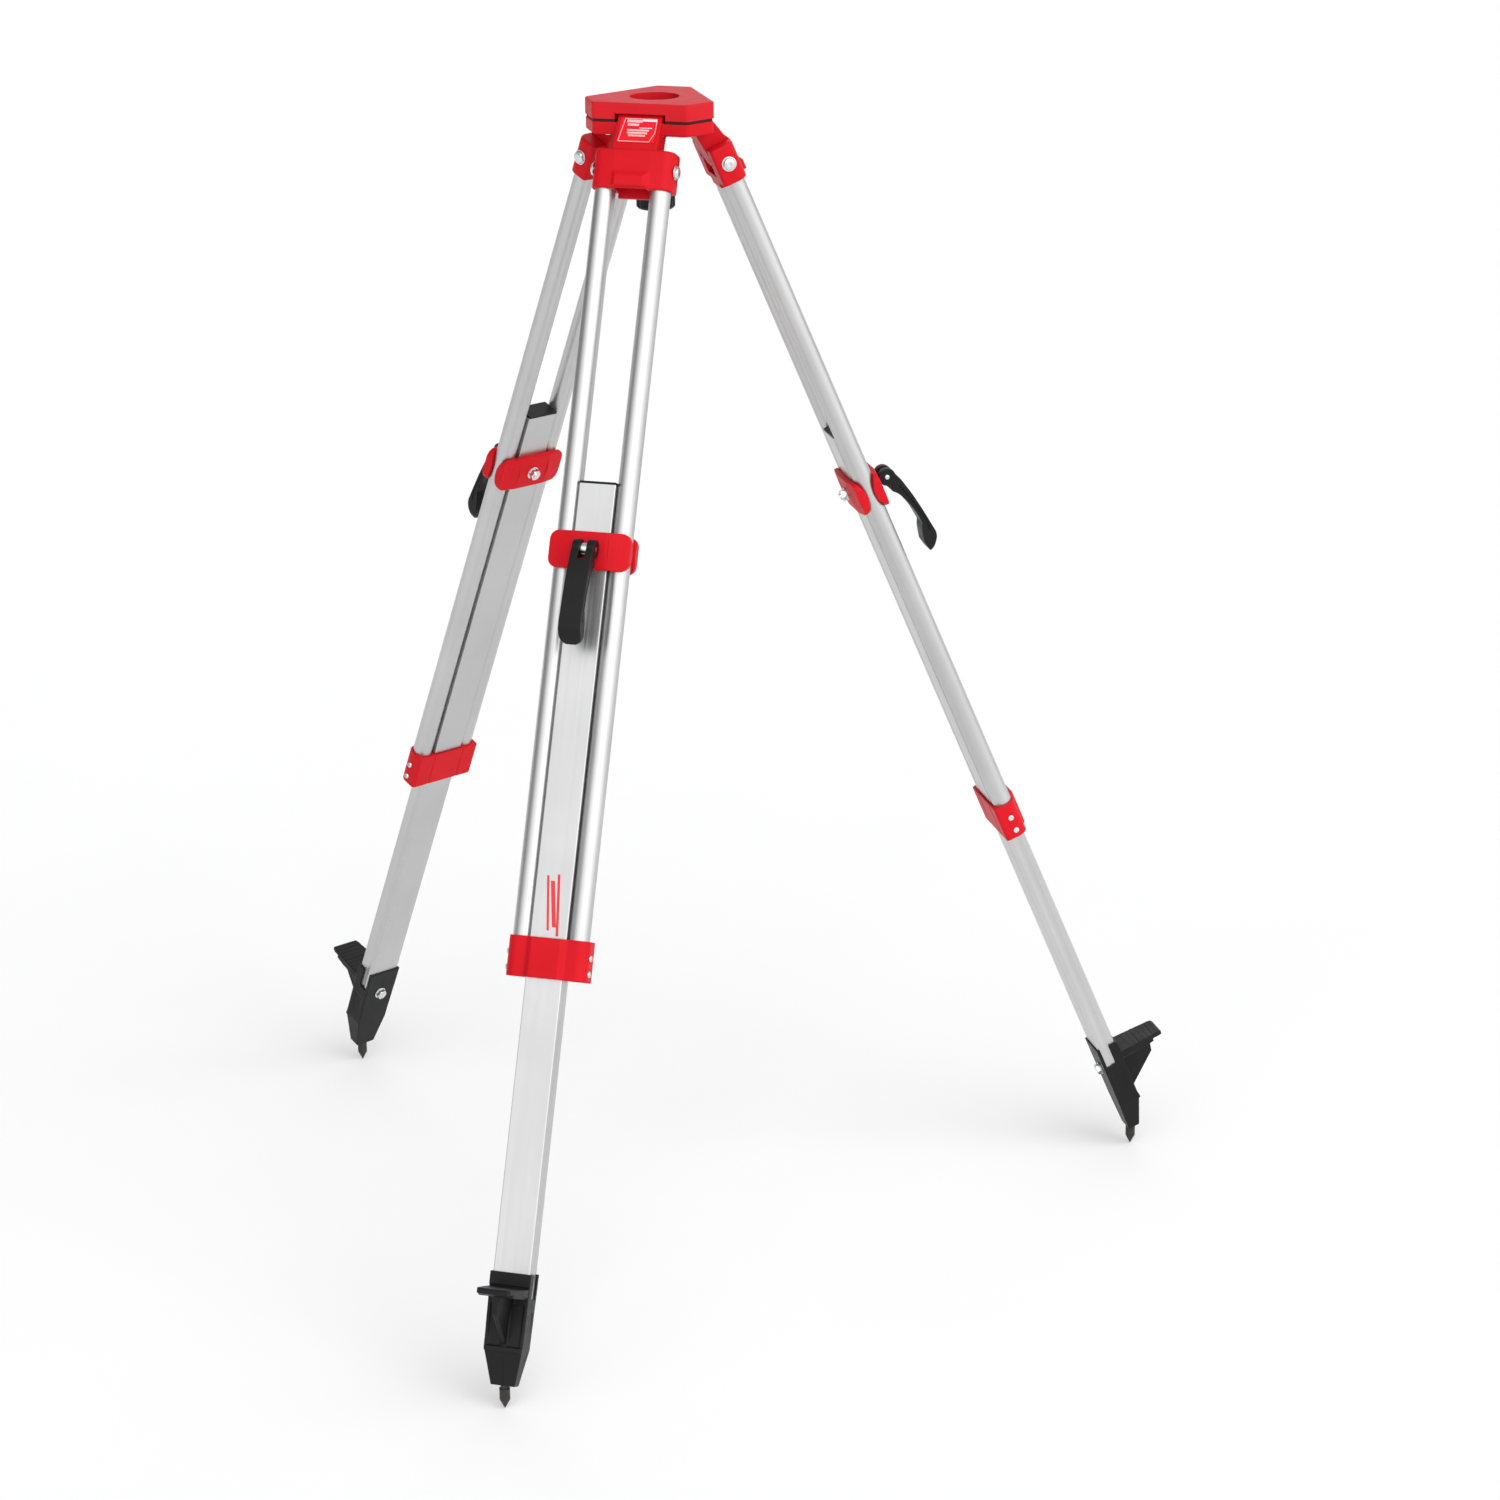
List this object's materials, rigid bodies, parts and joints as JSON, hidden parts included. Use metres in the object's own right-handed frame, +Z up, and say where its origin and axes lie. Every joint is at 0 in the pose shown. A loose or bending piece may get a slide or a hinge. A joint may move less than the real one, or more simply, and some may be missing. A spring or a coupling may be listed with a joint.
{
  "type": "surveyor tripod",
  "caption": "Three-legged stand for a survey instrument: triangular head with a sliding fixing screw, telescoping aluminium legs with lever clamps, spiked feet.",
  "frame": {"origin": "centre of the head's flat top face, on the axis of its centre hole", "axes": "+Z up, out of the head's top face; -Y towards the front leg; the other two legs are 120 degrees either side"},
  "size_m": [1.1756, 1.0181, 1.4274],
  "materials": {
    "red_plastic": "satin",
    "red_cast": "satin",
    "black_plastic": "matte",
    "black_rubber": "matte",
    "bare_aluminium": "satin",
    "zinc_steel": "satin",
    "dark_steel": "satin",
    "label": "satin"
  },
  "bodies": {
    "head": {"head_cover": "red_plastic", "head_gasket": "black_rubber", "head_plate": "red_cast", "head_screws": "zinc_steel", "hinge_bushes": "black_plastic", "label_plate": "label", "arm_pivot": "zinc_steel"},
    "arm": {"fixing_arm": "zinc_steel"},
    "slider": {"slider_bush": "black_plastic"},
    "screw_lift": {"thrust_washer": "zinc_steel"},
    "screw": {"fixing_screw": "zinc_steel", "fixing_knob": "black_plastic"},
    "upper_front": {"shoulder_front": "red_plastic", "tubes_front": "bare_aluminium", "hinge_fasteners_front": "zinc_steel", "collar_front": "red_plastic", "collar_screws_front": "zinc_steel"},
    "lower_front": {"extension_front": "bare_aluminium", "end_cap_front": "black_plastic", "clamp_outer_front": "red_plastic", "clamp_inner_front": "red_plastic", "clamp_bolt_front": "zinc_steel", "clamp_nut_front": "zinc_steel", "foot_front": "black_plastic", "foot_bolt_front": "zinc_steel", "spike_front": "dark_steel"},
    "lever_front": {"lever_front": "black_plastic", "lever_pin_front": "zinc_steel"},
    "upper_right": {"shoulder_right": "red_plastic", "tubes_right": "bare_aluminium", "hinge_fasteners_right": "zinc_steel", "collar_right": "red_plastic", "collar_screws_right": "zinc_steel"},
    "lower_right": {"extension_right": "bare_aluminium", "end_cap_right": "black_plastic", "clamp_outer_right": "red_plastic", "clamp_inner_right": "red_plastic", "clamp_bolt_right": "zinc_steel", "clamp_nut_right": "zinc_steel", "foot_right": "black_plastic", "foot_bolt_right": "zinc_steel", "spike_right": "dark_steel"},
    "lever_right": {"lever_right": "black_plastic", "lever_pin_right": "zinc_steel"},
    "upper_left": {"shoulder_left": "red_plastic", "tubes_left": "bare_aluminium", "hinge_fasteners_left": "zinc_steel", "collar_left": "red_plastic", "collar_screws_left": "zinc_steel"},
    "lower_left": {"extension_left": "bare_aluminium", "end_cap_left": "black_plastic", "clamp_outer_left": "red_plastic", "clamp_inner_left": "red_plastic", "clamp_bolt_left": "zinc_steel", "clamp_nut_left": "zinc_steel", "foot_left": "black_plastic", "foot_bolt_left": "zinc_steel", "spike_left": "dark_steel"},
    "lever_left": {"lever_left": "black_plastic", "lever_pin_left": "zinc_steel"}
  },
  "joints": [
    {"name": "arm_swing", "type": "hinge", "parent": "head", "child": "arm", "pos_m": [0, 0.062, -0.045], "axis": [0, 0, 1], "range_deg": [-12, 12]},
    {"name": "slider_travel", "type": "slide", "parent": "arm", "child": "slider", "axis": [0, 1, 0], "range_m": [-0.012, 0.012]},
    {"name": "screw_raise", "type": "slide", "parent": "slider", "child": "screw_lift", "axis": [0, 0, 1], "range_m": [0, 0.03]},
    {"name": "screw_turn", "type": "hinge", "parent": "screw_lift", "child": "screw", "pos_m": [0, 0, -0.06], "axis": [0, 0, 1], "continuous": true},
    {"name": "leg_hinge_front", "type": "hinge", "parent": "head", "child": "upper_front", "pos_m": [0, -0.0793, -0.077], "axis": [-1, 0, 0], "range_deg": [-23.08, 4]},
    {"name": "leg_slide_front", "type": "slide", "parent": "upper_front", "child": "lower_front", "axis": [0, -0.392, -0.92], "range_m": [-0.325, 0.425]},
    {"name": "lever_throw_front", "type": "hinge", "parent": "lower_front", "child": "lever_front", "pos_m": [0, -0.28817, -0.48476], "axis": [-1, 0, 0], "range_deg": [0, 100]},
    {"name": "leg_hinge_right", "type": "hinge", "parent": "head", "child": "upper_right", "pos_m": [0.06868, 0.03965, -0.077], "axis": [0.5, -0.866, 0], "range_deg": [-23.08, 4]},
    {"name": "leg_slide_right", "type": "slide", "parent": "upper_right", "child": "lower_right", "axis": [0.3395, 0.196, -0.92], "range_m": [-0.325, 0.425]},
    {"name": "lever_throw_right", "type": "hinge", "parent": "lower_right", "child": "lever_right", "pos_m": [0.24956, 0.14408, -0.48476], "axis": [0.5, -0.866, 0], "range_deg": [0, 100]},
    {"name": "leg_hinge_left", "type": "hinge", "parent": "head", "child": "upper_left", "pos_m": [-0.06868, 0.03965, -0.077], "axis": [0.5, 0.866, 0], "range_deg": [-23.08, 4]},
    {"name": "leg_slide_left", "type": "slide", "parent": "upper_left", "child": "lower_left", "axis": [-0.3395, 0.196, -0.92], "range_m": [-0.325, 0.425]},
    {"name": "lever_throw_left", "type": "hinge", "parent": "lower_left", "child": "lever_left", "pos_m": [-0.24956, 0.14408, -0.48476], "axis": [0.5, 0.866, 0], "range_deg": [0, 100]}
  ]
}
